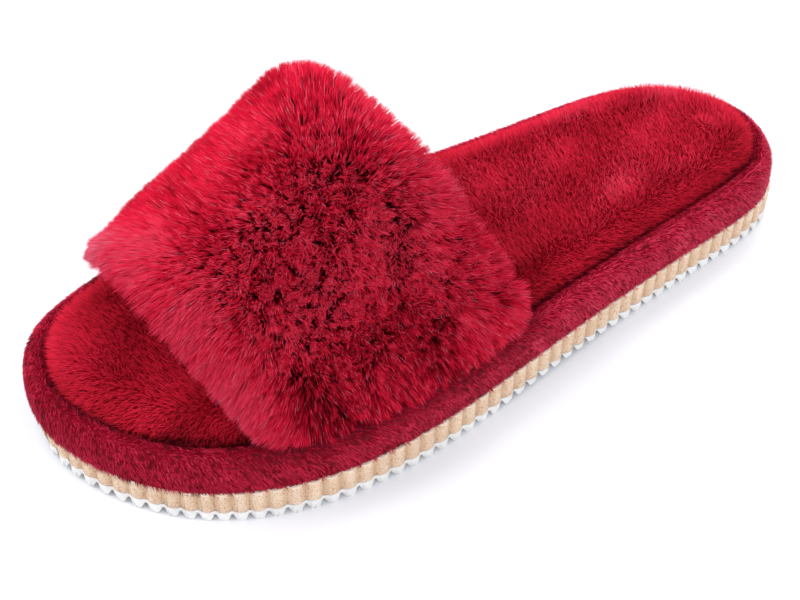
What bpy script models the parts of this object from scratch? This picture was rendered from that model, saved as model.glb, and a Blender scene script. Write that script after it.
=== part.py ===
"""Slide slipper for the left foot: ribbed sole, covered rim, plush footbed and one furred strap."""

from collections import namedtuple
from functools import lru_cache
from math import cos, pi, sin

import bmesh
import bpy
import numpy as np

# Sizes in metres. The toe points to -Y, the heel to +Y, and +X is the lateral side.
GAP = 0.0003
OUTSOLE_TOP = 0.0033
MIDSOLE_TOP = 0.0113
LAYER_FLOOR = MIDSOLE_TOP + GAP

# Toe spring, heel bevel and the hollow under the arch
TOE_SPRING = 0.0015
TOE_SPRING_START = -0.090
TOE_SPRING_RUN = 0.040
HEEL_BEVEL = 0.0010
HEEL_BEVEL_START = 0.108
HEEL_BEVEL_RUN = 0.022
ARCH_HOLLOW = 0.0012
ARCH_CENTRE = 0.022
ARCH_REACH = 0.032

# Upright ribs round the side, and the teeth that they end in at the floor
RIBS = 114
RIB_INSET = -0.0012
RIB_DEPTH = 0.0016
RIB_PROFILE = (1.0, 0.0, 0.0)
NOTCH_HEIGHT = 0.0019
TOOTH_LENGTH = 0.0050
TOOTH_STEP = 0.0008
TREAD_FIELD = 0.0014

# Cross lugs under forefoot and heel
LUG_WIDTH = 0.0070
LUG_PITCH = 0.0140
LUG_DEPTH = 0.0024
LUG_INSET = 0.0100
LUG_RUNS = {"forefoot": (-0.076, 6), "heel": (0.052, 5)}

# Points round the rim and the footbed
RIM_POINTS = 144

# The strap: its foot stands in the slot between rim and footbed
STRAP_FOOT = 0.0252
TUCK_BOTTOM = 0.0150
TUCK_TOP = 0.0246
TUCK_OUTER = 0.0080
LINING_INSET = 0.0120
SLOT_DEPTH = 0.0046
SLOT_MARGIN = 0.0040
SLOT_RAMP = 0.0050
ARCH_POWER = 1.64
ACROSS_STEPS = 40
LOCK_HEIGHT = 0.0040
LOCK_LEAN = 0.0018

# Sole outline: a row for each station from toe to heel, with both edges
Station = namedtuple("Station", "along lateral medial")
TOE_TIP = (-0.0030, -0.1305)
HEEL_TIP = (-0.0015, 0.1300)
OUTLINE = [
    Station(-0.1215, 0.0225, -0.0280),
    Station(-0.1080, 0.0378, -0.0368),
    Station(-0.0900, 0.0486, -0.0429),
    Station(-0.0700, 0.0546, -0.0459),
    Station(-0.0450, 0.0557, -0.0464),
    Station(-0.0150, 0.0515, -0.0438),
    Station(0.0200, 0.0436, -0.0408),
    Station(0.0550, 0.0363, -0.0403),
    Station(0.0850, 0.0309, -0.0400),
    Station(0.1060, 0.0268, -0.0355),
    Station(0.1200, 0.0208, -0.0252),
]

# Sections of rim and footbed: a row for each point, inward from the sole's edge
Rim = namedtuple("Rim", "inset height")
RAND = [
    Rim(0.0006, LAYER_FLOOR),
    Rim(0.0000, 0.0140),
    Rim(0.0001, 0.0186),
    Rim(0.0010, 0.0219),
    Rim(0.0030, 0.0239),
    Rim(0.0048, 0.0239),
    Rim(0.0066, 0.0226),
    Rim(0.0074, 0.0200),
    Rim(0.0076, LAYER_FLOOR),
]
FOOTBED = [
    Rim(0.0079, LAYER_FLOOR),
    Rim(0.0079, 0.0215),
    Rim(0.0087, 0.0245),
    Rim(0.0106, 0.0267),
    Rim(0.0150, 0.0281),
    Rim(0.0240, 0.0288),
]

# Strap sections over the foot: where each stands, and the lining's height above its foot
Section = namedtuple("Section", "lateral medial crown height lean")
STRAP = [
    Section(-0.0740, -0.0856, -0.0134, 0.0349, 0.0015),
    Section(-0.0363, -0.0547, -0.0185, 0.0488, -0.0037),
    Section(0.0013, -0.0237, -0.0235, 0.0645, -0.0088),
]

# The wall along the strap, from its front edge to its middle: pile rolls over the edge
Roll = namedtuple("Roll", "along wall spill")
ROLL = [
    Roll(0.000, 0.0022, 0.0030),
    Roll(0.025, 0.0056, 0.0044),
    Roll(0.065, 0.0071, 0.0028),
    Roll(0.115, 0.0075, 0.0012),
    Roll(0.180, 0.0075, 0.0000),
    Roll(0.260, 0.0075, 0.0000),
    Roll(0.340, 0.0075, 0.0000),
    Roll(0.420, 0.0075, 0.0000),
    Roll(0.500, 0.0075, 0.0000),
]

# Material colours, as red, green and blue, with their roughness
COLOURS = {
    "outsole": ((0.78, 0.77, 0.75), 0.70),
    "midsole": ((0.72, 0.52, 0.35), 0.75),
    "rand": ((0.33, 0.012, 0.040), 0.90),
    "footbed": ((0.48, 0.012, 0.030), 0.95),
    "upper": ((0.40, 0.010, 0.028), 0.95),
}


def closed_spline(knots, steps):
    """Points along a smooth closed curve through the knots, a number of steps in each gap."""
    count = len(knots)
    ahead = np.roll(knots, -1, axis=0) - knots
    gap = np.linalg.norm(ahead, axis=1)
    system = np.zeros((count, count))
    pull = np.zeros((count, 2))
    for i in range(count):
        before, after = gap[i - 1], gap[i]
        system[i, i - 1] += after
        system[i, i] += 2 * (before + after)
        system[i, (i + 1) % count] += before
        pull[i] = 3 * (before / after * ahead[i] + after / before * ahead[i - 1])
    tangent = np.linalg.solve(system, pull)
    t = np.linspace(0, 1, steps, endpoint=False)[:, None]
    spans = []
    for i in range(count):
        j = (i + 1) % count
        start = knots[i] + gap[i] * t * (1 - t) ** 2 * tangent[i] - gap[i] * t ** 2 * (1 - t) * tangent[j]
        spans.append(start + (knots[j] - knots[i]) * t ** 2 * (3 - 2 * t))
    return np.concatenate(spans)


def sole_edge():
    """The sole's edge as a fine closed curve, centred, from the toe's tip by the lateral side."""
    lateral = [(row.lateral, row.along) for row in OUTLINE]
    medial = [(row.medial, row.along) for row in reversed(OUTLINE)]
    edge = closed_spline(np.array([TOE_TIP, *lateral, HEEL_TIP, *medial]), 160)
    return edge - (edge.max(axis=0) + edge.min(axis=0)) / 2


EDGE = sole_edge()


def evenly(count):
    """Evenly spaced points round the sole's edge."""
    loop = np.vstack([EDGE, EDGE[:1]])
    length = np.concatenate([[0], np.cumsum(np.linalg.norm(np.diff(loop, axis=0), axis=1))])
    at = np.linspace(0, length[-1], count, endpoint=False)
    return np.stack([np.interp(at, length, loop[:, k]) for k in (0, 1)], axis=1)


def inset(points, distance):
    """The same points moved inward, square to the curve."""
    along = np.roll(points, -1, axis=0) - np.roll(points, 1, axis=0)
    along /= np.linalg.norm(along, axis=1)[:, None]
    inward = np.stack([-along[:, 1], along[:, 0]], axis=1)
    return points + inward * np.reshape(distance, (-1, 1))


@lru_cache
def half_edge(distance, side):
    """The lateral or medial half of the edge, moved inward by a distance, from toe to heel."""
    curve = inset(EDGE, distance)
    heel = int(np.argmax(curve[:, 1]))
    return curve[:heel] if side == "lateral" else curve[:heel:-1]


def side_x(along, distance, side):
    """X of the edge, moved inward by a distance, at a station on one side."""
    half = half_edge(distance, side)
    return float(np.interp(along, half[:, 1], half[:, 0]))


def rise(along):
    """How far toe spring and heel bevel lift the sole at a station."""
    toe = np.clip((TOE_SPRING_START - along) / TOE_SPRING_RUN, 0, None)
    heel = np.clip((along - HEEL_BEVEL_START) / HEEL_BEVEL_RUN, 0, None)
    return TOE_SPRING * toe ** 2 + HEEL_BEVEL * heel ** 2


def hollow(along):
    """How far the underside is hollowed beneath the arch at a station."""
    reach = np.clip(1 - ((along - ARCH_CENTRE) / ARCH_REACH) ** 2, 0, None)
    return ARCH_HOLLOW * reach


def ring(points, height):
    """A closed ring of points at a height above the sprung sole."""
    return np.column_stack([points, height + rise(points[:, 1])])


def ladder(start, points):
    """Triangles across a ring, rung by rung from toe to heel."""
    left, right = 1, len(points) - 1
    faces = [(start, start + left, start + right)]
    while right - left > 1:
        if points[left + 1, 1] <= points[right - 1, 1]:
            faces.append((start + left, start + left + 1, start + right))
            left += 1
        else:
            faces.append((start + left, start + right - 1, start + right))
            right -= 1
    return faces


def skin(rings, closed=False):
    """Faces between rings of equal length, in order, and back to the first when closed."""
    count = len(rings[0])
    pairs = [(k, k + 1) for k in range(len(rings) - 1)]
    if closed:
        pairs.append((len(rings) - 1, 0))
    faces = []
    for low, high in pairs:
        for i in range(count):
            j = (i + 1) % count
            faces.append((low * count + i, low * count + j, high * count + j, high * count + i))
    return faces


def material(name):
    """A plain material in the piece's colour."""
    colour, roughness = COLOURS[name]
    made = bpy.data.materials.new(name)
    made.use_nodes = True
    shader = made.node_tree.nodes["Principled BSDF"]
    shader.inputs["Base Color"].default_value = (*colour, 1)
    shader.inputs["Roughness"].default_value = roughness
    shader.inputs["Metallic"].default_value = 0
    return made


def body(name, points, faces, collection):
    """A named object from points and faces, its faces turned outward."""
    mesh = bpy.data.meshes.new(name)
    mesh.from_pydata(np.asarray(points).tolist(), [], faces)
    shape = bmesh.new()
    shape.from_mesh(mesh)
    bmesh.ops.triangulate(shape, faces=shape.faces[:])
    bmesh.ops.recalc_face_normals(shape, faces=shape.faces[:])
    shape.to_mesh(mesh)
    shape.free()
    piece = bpy.data.objects.new(name, mesh)
    collection.objects.link(piece)
    if name in COLOURS:
        mesh.materials.append(material(name))
        mesh.shade_smooth()
        mesh.set_sharp_from_angle(angle=0.6)
    return piece


def ribbed(extra=0.0):
    """The ribbed edge in plan, with how deep in a groove each of its points lies."""
    groove = np.tile(RIB_PROFILE, RIBS)
    points = evenly(len(groove))
    return inset(points, RIB_INSET + RIB_DEPTH * groove + extra), groove


def capped(rings):
    """Points and faces of a stack of rings, closed across the first and the last."""
    last = (len(rings) - 1) * len(rings[0])
    faces = skin(rings) + ladder(0, rings[0]) + ladder(last, rings[-1])
    return np.vstack(rings), faces


def make_outsole(collection, tools):
    """White layer: teeth round its edge, a recessed field and cross lugs under it."""
    outer, groove = ribbed()
    inner, _ = ribbed(TOOTH_LENGTH)
    field, _ = ribbed(TOOTH_LENGTH + TOOTH_STEP)
    notch = NOTCH_HEIGHT * groove
    rings = [
        ring(outer, OUTSOLE_TOP),
        ring(outer, notch + hollow(outer[:, 1])),
        ring(inner, notch + hollow(inner[:, 1])),
        ring(field, TREAD_FIELD + hollow(field[:, 1])),
    ]
    outsole = body("outsole", *capped(rings), collection)
    join = outsole.modifiers.new("lugs", "BOOLEAN")
    join.operation = "UNION"
    join.solver = "EXACT"
    join.object = make_lugs(tools)


def make_lugs(tools):
    """Cross bars whose undersides stand on the floor plane."""
    bars = bmesh.new()
    for first, count in LUG_RUNS.values():
        for k in range(count):
            along = first + k * LUG_PITCH
            ends = [along - LUG_WIDTH / 2, along + LUG_WIDTH / 2]
            right = min(side_x(end, LUG_INSET, "lateral") for end in ends)
            left = max(side_x(end, LUG_INSET, "medial") for end in ends)
            made = bmesh.ops.create_cube(bars, size=1)
            bmesh.ops.scale(bars, verts=made["verts"], vec=(right - left, LUG_WIDTH, LUG_DEPTH))
            middle = ((right + left) / 2, along, LUG_DEPTH / 2)
            bmesh.ops.translate(bars, verts=made["verts"], vec=middle)
    mesh = bpy.data.meshes.new("cross_lugs")
    bars.to_mesh(mesh)
    bars.free()
    lugs = bpy.data.objects.new("cross_lugs", mesh)
    lugs.hide_render = True
    lugs.display_type = "WIRE"
    tools.objects.link(lugs)
    return lugs


def make_midsole(collection):
    """Tan layer with upright ribs all round."""
    edge, _ = ribbed()
    rings = [ring(edge, OUTSOLE_TOP + GAP), ring(edge, MIDSOLE_TOP)]
    body("midsole", *capped(rings), collection)


def make_rand(collection):
    """Covered rim: one rounded section carried round the edge."""
    edge = evenly(RIM_POINTS)
    rings = [ring(inset(edge, row.inset), row.height) for row in RAND]
    body("rand", np.vstack(rings), skin(rings, closed=True), collection)


def strap_slot(points):
    """How much further in the footbed's edge runs where the strap's feet go down beside it."""
    front, back = STRAP[0], STRAP[-1]
    lateral = points[:, 0] > 0
    low = np.where(lateral, front.lateral, front.medial) - SLOT_MARGIN
    high = np.where(lateral, back.lateral, back.medial) + SLOT_MARGIN
    outside = np.maximum(low - points[:, 1], points[:, 1] - high)
    ease = np.clip(1 - outside / SLOT_RAMP, 0, 1)
    return SLOT_DEPTH * ease ** 2 * (3 - 2 * ease)


def make_footbed(collection):
    """Plush pad: crowned, with a soft edge, and drawn in beside the strap's feet."""
    edge = evenly(RIM_POINTS)
    rings = []
    for row in FOOTBED:
        points = inset(edge, row.inset + strap_slot(edge))
        rings.append(ring(points, row.height))
    body("footbed", *capped(rings), collection)


def strap_size(name, along):
    """A strap size at a place along it, on a smooth curve through the three sections."""
    front, middle, back = (getattr(row, name) for row in STRAP)
    return (
        front * (1 - along) * (1 - 2 * along)
        + middle * 4 * along * (1 - along)
        + back * along * (2 * along - 1)
    )


def lining(across, along):
    """Point on the strap's inner face: across runs lateral to medial, along runs front to back."""
    turn = pi * across
    side = (1 + cos(turn)) / 2
    station = strap_size("lateral", along) * side + strap_size("medial", along) * (1 - side)
    station += strap_size("crown", along) * sin(turn) ** 2
    right = side_x(station, LINING_INSET, "lateral")
    left = side_x(station, LINING_INSET, "medial")
    lift = max(sin(turn), 0) ** ARCH_POWER
    x = (right + left) / 2 + (right - left) / 2 * cos(turn)
    x += strap_size("lean", along) * sin(turn) ** 2
    return np.array([x, station, STRAP_FOOT + strap_size("height", along) * lift])


def strap_axes(across, along):
    """Outward normal and front-to-back direction of the strap at a point."""
    step = 0.002
    over = lining(min(across + step, 1), along) - lining(max(across - step, 0), along)
    back = lining(across, along + step) - lining(across, along - step)
    normal = np.cross(back, over)
    return normal / np.linalg.norm(normal), back / np.linalg.norm(back)


def strap_stations():
    """Rows of the roll table for the whole strap, from its front edge to its back edge."""
    front = [(row.along, row.wall, -row.spill) for row in ROLL]
    back = [(1 - row.along, row.wall, row.spill) for row in reversed(ROLL[:-1])]
    return front + back


def strap_foot(station, distance, height, side):
    """A point of the strap's tucked foot."""
    return np.array([side_x(station, distance, side), station, height])


def strap_section(row, along, wall, spill, last_row):
    """One closed section of the strap: over the outside, then back along the lining."""
    outer, inner = [], []
    for i in range(ACROSS_STEPS + 1):
        across = i / ACROSS_STEPS
        point = lining(across, along)
        normal, back = strap_axes(across, along)
        on_edge = row in (0, last_row) or i in (0, ACROSS_STEPS)
        if not on_edge and (row + i) % 2 == 0:
            point_out = point + normal * (wall + LOCK_HEIGHT) + back * (spill - LOCK_LEAN)
        else:
            point_out = point + normal * wall + back * spill
        outer.append(point_out)
        inner.append(point)
    feet = {"lateral": inner[0][1], "medial": inner[-1][1]}
    for side, end in (("lateral", 0), ("medial", None)):
        for chain, distance in ((outer, TUCK_OUTER), (inner, LINING_INSET)):
            for height in (TUCK_TOP, TUCK_BOTTOM):
                place = len(chain) if end is None else end
                chain.insert(place, strap_foot(feet[side], distance, height, side))
    return outer, inner


def strap_faces(rows, count):
    """Faces along the strap, split so that each lock stands as a point of its own."""
    faces = []
    for row in range(rows - 1):
        for i in range(count):
            j = (i + 1) % count
            a, b = row * count + i, row * count + j
            c, d = b + count, a + count
            if (row + i) % 2:
                faces += [(a, b, c), (a, c, d)]
            else:
                faces += [(a, b, d), (b, c, d)]
    return faces


def make_upper(collection):
    """Furred strap: a hollow wall with rolled edges, raised locks and two tucked feet."""
    stations = strap_stations()
    last_row = len(stations) - 1
    rings = []
    for row, (along, wall, spill) in enumerate(stations):
        outer, inner = strap_section(row, along, wall, spill, last_row)
        rings.append(np.array(outer + inner[::-1]))
    count = len(rings[0])
    faces = strap_faces(len(rings), count)
    for row in (0, last_row):
        for i in range(count // 2 - 1):
            j = count - 1 - i
            faces.append(tuple(row * count + k for k in (i, i + 1, j - 1, j)))
    body("upper", np.vstack(rings), faces, collection)


def new_collection(name):
    """A collection of its own in the scene."""
    made = bpy.data.collections.new(name)
    bpy.context.scene.collection.children.link(made)
    return made


def main():
    """Build every piece of the slipper."""
    for old in list(bpy.data.objects):
        bpy.data.objects.remove(old)
    slipper = new_collection("slide_slipper")
    tools = new_collection("slide_slipper_tools")
    make_outsole(slipper, tools)
    make_midsole(slipper)
    make_rand(slipper)
    make_footbed(slipper)
    make_upper(slipper)


main()
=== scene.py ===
# %% [markdown]
# # A furred slide slipper
# The solids of this slipper are already built: a white tread, a ribbed tan
# foam layer, a velour rim, a plush footbed and a furred strap. In this lesson
# they get their real surfaces. The foam keeps its solid form and gets rounder
# ribs, and the three textiles are grown as pile, strand by strand, because
# what makes this slipper is the fur.

# %% Load the solids
import math

import bmesh
import bpy
import numpy as np
from mathutils import Matrix, Vector
from mathutils.kdtree import KDTree


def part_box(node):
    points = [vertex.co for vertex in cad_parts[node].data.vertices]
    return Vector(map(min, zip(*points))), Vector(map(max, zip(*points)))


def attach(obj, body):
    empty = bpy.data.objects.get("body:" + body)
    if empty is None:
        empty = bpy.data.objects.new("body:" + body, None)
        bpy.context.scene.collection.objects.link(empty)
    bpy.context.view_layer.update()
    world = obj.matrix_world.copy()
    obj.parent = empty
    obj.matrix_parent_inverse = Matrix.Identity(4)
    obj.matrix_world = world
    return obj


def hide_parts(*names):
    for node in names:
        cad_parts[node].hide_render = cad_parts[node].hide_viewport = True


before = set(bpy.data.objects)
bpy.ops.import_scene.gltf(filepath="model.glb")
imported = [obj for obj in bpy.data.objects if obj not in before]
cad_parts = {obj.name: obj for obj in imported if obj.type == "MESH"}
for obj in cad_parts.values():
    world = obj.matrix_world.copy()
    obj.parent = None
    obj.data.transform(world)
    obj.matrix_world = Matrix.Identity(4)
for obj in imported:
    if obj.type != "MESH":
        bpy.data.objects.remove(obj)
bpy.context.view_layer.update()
bpy.ops.object.select_all(action="DESELECT")
scene = bpy.context.scene
print("solids:", sorted(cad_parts))

# %% [markdown]
# ## The camera
# The photograph looks down at the toe from the outer side, through a long
# lens. The eye was found by matching the sole's outline, so it is written here
# as a direction, a distance and a point to look at. It could be an object with
# a Track To constraint, but a plain matrix leaves nothing live in the file.

# %% Place the camera
VIEW_TURN = math.radians(58.6)
VIEW_RISE = math.radians(45.1)
VIEW_ROLL = math.radians(1.2)
VIEW_DISTANCE = 0.488
VIEW_POINT = Vector((0.0077, -0.0182, 0.0200))

camera = bpy.data.objects.new("photo_camera", bpy.data.cameras.new("photo_camera"))
camera.data.sensor_width = 36
camera.data.lens = 72
camera.data.clip_start = 0.01
scene.collection.objects.link(camera)
back = Vector((
    math.sin(VIEW_TURN) * math.cos(VIEW_RISE),
    -math.cos(VIEW_TURN) * math.cos(VIEW_RISE),
    math.sin(VIEW_RISE),
))
level = (-back).cross(Vector((0, 0, 1))).normalized()
upright = level.cross(-back)
across = math.cos(VIEW_ROLL) * level + math.sin(VIEW_ROLL) * upright
upward = math.cos(VIEW_ROLL) * upright - math.sin(VIEW_ROLL) * level
placed = Matrix((across, upward, back)).transposed().to_4x4()
placed.translation = VIEW_POINT + VIEW_DISTANCE * back
camera.matrix_world = placed
scene.camera = camera
print("camera at", [round(value, 3) for value in placed.translation])

# %% [markdown]
# ## The studio
# The picture has a white sweep and soft light from all sides, so the only
# shadow is a pale one under the near side. A floor plane, three round
# softboxes and a bright, slightly blue world give that: the key stands in
# front on the inner side, a weak fill on the outer side, and one behind the
# heel. The Standard view transform keeps the reds as saturated as they are in
# the photograph.

# %% Floor, lights and world
FLOOR_SIZE = 6.0
SOFTBOXES = {  # place, width in metres and watts
    "key_light": (Vector((-0.42, -0.88, 1.00)), 0.80, 10.6),
    "fill_light": (Vector((0.95, -0.05, 0.55)), 1.00, 4.6),
    "back_light": (Vector((-0.40, 0.75, 0.85)), 0.70, 8.0),
}
SKY_TINT = (0.84, 0.88, 1.0, 1)
SKY_STRENGTH = 1.03

bpy.ops.mesh.primitive_plane_add(size=FLOOR_SIZE, location=(0, 0, 0))
floor = bpy.context.object
floor.name = "floor"
for name, (place, size, watts) in SOFTBOXES.items():
    softbox = bpy.data.objects.new(name, bpy.data.lights.new(name, "AREA"))
    softbox.data.shape = "DISK"
    softbox.data.size = size
    softbox.data.energy = watts
    softbox.location = place
    aimed = (VIEW_POINT - place).to_track_quat("-Z", "Y")
    softbox.rotation_euler = aimed.to_euler()
    scene.collection.objects.link(softbox)

world = bpy.data.worlds.new("studio")
world.use_nodes = True
sky = world.node_tree.nodes["Background"]
sky.inputs["Color"].default_value = SKY_TINT
sky.inputs["Strength"].default_value = SKY_STRENGTH
scene.world = world
scene.view_settings.view_transform = "Standard"
print(len(SOFTBOXES), "softboxes")

# %% [markdown]
# ## Helpers for materials
# Every finish below is a Principled shader with a few texture nodes in front of
# it. Small helpers keep those cells short. The first three start a material,
# add a node and join two sockets. The others make what is used again and
# again: a blend of two colours, a colour ramp, a noise and a bump.


# %% Start a finish and add nodes
def new_finish(name, roughness, gloss):
    """A material with its Principled node, at one roughness and gloss."""
    finish = bpy.data.materials.new(name)
    finish.use_nodes = True
    shader = finish.node_tree.nodes["Principled BSDF"]
    shader.inputs["Roughness"].default_value = roughness
    shader.inputs["Specular IOR Level"].default_value = gloss
    return finish, shader


def add_node(finish, kind, links=(), **settings):
    """A new node; links are pairs of an input and what feeds or fills it."""
    made = finish.node_tree.nodes.new("ShaderNode" + kind)
    for key_name, value in settings.items():
        setattr(made, key_name, value)
    for entry, source in links:
        if isinstance(source, bpy.types.NodeSocket):
            finish.node_tree.links.new(source, made.inputs[entry])
        else:
            made.inputs[entry].default_value = source
    return made


def join(finish, source, target):
    """Links one node's output to another's input."""
    finish.node_tree.links.new(source, target)


print("node helpers ready")

# %% Blend, ramp, noise and bump
MIX_FACTOR, MIX_FIRST, MIX_SECOND, MIX_RESULT = 0, 6, 7, 2  # the colour sockets


def blended(finish, factor, first, second, way="MIX"):
    """Two colours mixed by a factor."""
    links = [(MIX_FACTOR, factor), (MIX_FIRST, first), (MIX_SECOND, second)]
    mix = add_node(finish, "Mix", links, data_type="RGBA", blend_type=way)
    return mix.outputs[MIX_RESULT]


def ramped(finish, source, stops):
    """A colour ramp: stops are pairs of a place and a grey or a colour."""
    ramp = add_node(finish, "ValToRGB", [("Fac", source)])
    band = ramp.color_ramp.elements
    for index, (place, colour) in enumerate(stops):
        stop = band[index] if index < 2 else band.new(place)
        stop.position = place
        shade = (colour,) * 3 if isinstance(colour, (int, float)) else colour
        stop.color = (*shade, 1)
    return ramp.outputs["Color"]


def object_noise(finish, scale, detail=2.0, rough=0.5):
    """Noise fixed to the object, with scale in cycles per metre."""
    place = add_node(finish, "TexCoord").outputs["Object"]
    settings = [("Vector", place), ("Scale", scale), ("Detail", detail)]
    noise = add_node(finish, "TexNoise", settings + [("Roughness", rough)])
    return noise.outputs["Fac"]


def bumped(finish, shader, height, depth):
    """Feeds a height, with its depth in metres, to the shader's normal."""
    links = [("Height", height), ("Distance", depth), ("Strength", 1.0)]
    bump = add_node(finish, "Bump", links)
    join(finish, bump.outputs["Normal"], shader.inputs["Normal"])


print("texture helpers ready")

# %% Floor finish
PAPER_GREYS = [(0, 0.77), (1, 0.78)]
paper, paper_shader = new_finish("white_paper", roughness=0.9, gloss=0.1)
paper_tone = ramped(paper, object_noise(paper, scale=2.0), PAPER_GREYS)
join(paper, paper_tone, paper_shader.inputs["Base Color"])
floor.data.materials.append(paper)
print("floor", FLOOR_SIZE, "m wide")

# %% [markdown]
# ## Working copies of the solids
# A solid from the frame comes as loose triangles. For shaping it is copied,
# its doubles are merged so that neighbouring faces share their corners, and
# the copy then stands in for the solid in the picture.

# %% Copy helpers
MERGE_REACH = 0.00002


def working_copy(node, name):
    """A merged copy of a solid, selected and active."""
    bpy.ops.object.select_all(action="DESELECT")
    piece = bpy.data.objects.new(name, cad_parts[node].data.copy())
    scene.collection.objects.link(piece)
    piece.data.materials.clear()
    bpy.context.view_layer.objects.active = piece
    piece.select_set(True)
    bpy.ops.object.mode_set(mode="EDIT")
    bpy.ops.mesh.select_all(action="SELECT")
    bpy.ops.mesh.remove_doubles(threshold=MERGE_REACH)
    bpy.ops.mesh.select_all(action="DESELECT")
    bpy.ops.object.mode_set(mode="OBJECT")
    return piece


def stands_for(piece, node):
    """The piece rides with the slipper in place of a solid, which is hidden."""
    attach(piece, "root")
    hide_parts(node)


def rising(values, start, end):
    """0 up to start, 1 from end on, a straight ramp between; it may fall too."""
    return np.clip((values - start) / (end - start), 0, 1)


print("copy helpers ready")

# %% [markdown]
# ## The foam layers
# The sole is cut from a sheet of tan foam on white rubber, and its side is
# pressed into upright ribs that run through both. Each layer is a copy of its
# solid, raised to close the thin gap above it and tucked in a little at the
# toe, under the rim, as in the photograph. A bevel on all the upright edges
# turns the faceted ribs into round ones, and on the tread the pointed notches
# between the ribs become low arches. Every point keeps a number that says how
# deep in a groove it lies, for the painted shade in the grooves.

# %% Find the upright edges
LEAST_RISE = 0.9  # share of an upright edge's length that goes up
LEAST_FOLD = math.radians(12)


def upright_edges(piece):
    """The wall's upright edges, in two lists: ridge edges and groove edges."""
    ridges, grooves = [], []
    form = bmesh.new()
    form.from_mesh(piece.data)
    for edge in form.edges:
        run = edge.verts[0].co - edge.verts[1].co
        if abs(run.z) < LEAST_RISE * run.length or len(edge.link_faces) != 2:
            continue
        if edge.calc_face_angle() > LEAST_FOLD:
            (ridges if edge.is_convex else grooves).append(edge.index)
    form.free()
    return ridges, grooves


print("edge finder ready")

# %% Settle a layer
SEAM_CLOSE = 0.0003
TOP_BAND = 0.0004
TOE_TUCK = Vector((0.0008, 0.0024, 0))
TUCK_FROM, TUCK_TO = -0.085, -0.115  # places along the slipper
GROOVE_FILL = 0.0005


def settle_layer(mesh):
    """Tucks a layer's toe in and raises its top to close the gap above it."""
    top = max(vertex.co.z for vertex in mesh.vertices)
    for vertex in mesh.vertices:
        share = float(rising(vertex.co.y, TUCK_FROM, TUCK_TO))
        vertex.co += TOE_TUCK * share * share * (3 - 2 * share)
        if vertex.co.z > top - TOP_BAND:
            vertex.co.z += SEAM_CLOSE


def fill_grooves(mesh, grooves):
    """Moves the groove edges outwards, so that the ribs are less deep."""
    ends = {corner for index in grooves for corner in mesh.edges[index].vertices}
    for corner in ends:
        outward = mesh.vertices[corner].normal * Vector((1, 1, 0))
        mesh.vertices[corner].co += outward.normalized() * GROOVE_FILL


print("layers can be settled")

# %% Turn notches into arches and mark the grooves
NOTCH_HEIGHT = 0.0019
NOTCH_REACH = 0.0026
ARCH_SHARE = 0.62  # part of a notch's width that the arch spans
ARCH_SLACK = 0.02
FOOT_SLOPE = 0.04  # keeps the flat feet from folding up
GROOVE_REACH = 0.0016


def arch_notches(mesh, lines, crowns):
    """Makes low arches of the notches; lines are grooves, crowns their tops."""
    for vertex in mesh.vertices:
        gaps = np.linalg.norm(lines - np.array(vertex.co.xy), axis=1)
        closest = gaps.argmin()
        drop = (crowns[closest] - vertex.co.z) / NOTCH_HEIGHT
        in_notch = -ARCH_SLACK < drop < 1 + ARCH_SLACK
        if gaps[closest] < NOTCH_REACH and in_notch:
            arch = math.sqrt(max(0, 1 - (drop / ARCH_SHARE) ** 2))
            fall = (1 - FOOT_SLOPE) * (1 - arch) + FOOT_SLOPE * drop
            vertex.co.z = crowns[closest] - NOTCH_HEIGHT * fall


def mark_grooves(mesh, lines):
    """Keeps at every point how deep in a groove it lies, from 0 to 1."""
    places = np.array([vertex.co.xy for vertex in mesh.vertices])
    away = np.linalg.norm(places[:, None] - lines, axis=2).min(axis=1)
    # the tan foam's colour reads this depth as painted shade in the grooves
    depth = mesh.attributes.new("groove", "FLOAT", "POINT")
    depth.data.foreach_set("value", rising(away, GROOVE_REACH, 0))


print("notches and grooves can be shaped")

# %% Shape the two layers
RIB_BEVEL = 0.00088
RIB_SEGMENTS = 4
SMOOTH_ANGLE = math.radians(38)


def shape_ribs(piece, notched=False):
    """Settles a layer, then rounds its ribs and, on the tread, its notches."""
    mesh = piece.data
    settle_layer(mesh)
    ridges, grooves = upright_edges(piece)
    fill_grooves(mesh, grooves)
    ends = [
        [mesh.vertices[corner].co.copy() for corner in mesh.edges[index].vertices]
        for index in grooves
    ]
    lines = np.array([first.xy for first, _ in ends])
    crowns = np.array([min(first.z, second.z) for first, second in ends])
    for index in ridges + grooves:
        mesh.edges[index].select = True
    bpy.ops.object.mode_set(mode="EDIT")
    bpy.ops.mesh.select_mode(type="EDGE")
    bpy.ops.mesh.bevel(
        offset=RIB_BEVEL, segments=RIB_SEGMENTS, affect="EDGES", clamp_overlap=True
    )
    bpy.ops.mesh.select_all(action="DESELECT")
    bpy.ops.object.mode_set(mode="OBJECT")
    if notched:
        arch_notches(mesh, lines, crowns)
    bpy.ops.object.shade_smooth_by_angle(angle=SMOOTH_ANGLE)
    mark_grooves(mesh, lines)
    print(piece.name, len(ridges), "ridges,", len(grooves), "grooves")


midsole = working_copy("midsole", "tan_foam")
shape_ribs(midsole)
stands_for(midsole, "midsole")

outsole = working_copy("outsole", "white_tread")
shape_ribs(outsole, notched=True)
stands_for(outsole, "outsole")

# %% [markdown]
# ## Foam finishes
# The tan foam is a matte, closed-cell foam with tiny brown specks and pores.
# Its grooves are darkened with painted shade, and its top edge is made a
# little paler with a painted highlight. The tread is off-white rubber with a
# faint grey cast. Both are noise on Object coordinates, so the grain stays the
# same size all round.

# %% Tan foam
TAN_PATCHES = [(0.30, (0.68, 0.48, 0.32)), (0.70, (0.76, 0.58, 0.42))]
SPECK_MASK = [(0.36, 1.0), (0.44, 0.0)]
SPECK_BROWN = (0.34, 0.16, 0.07, 1)
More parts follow.
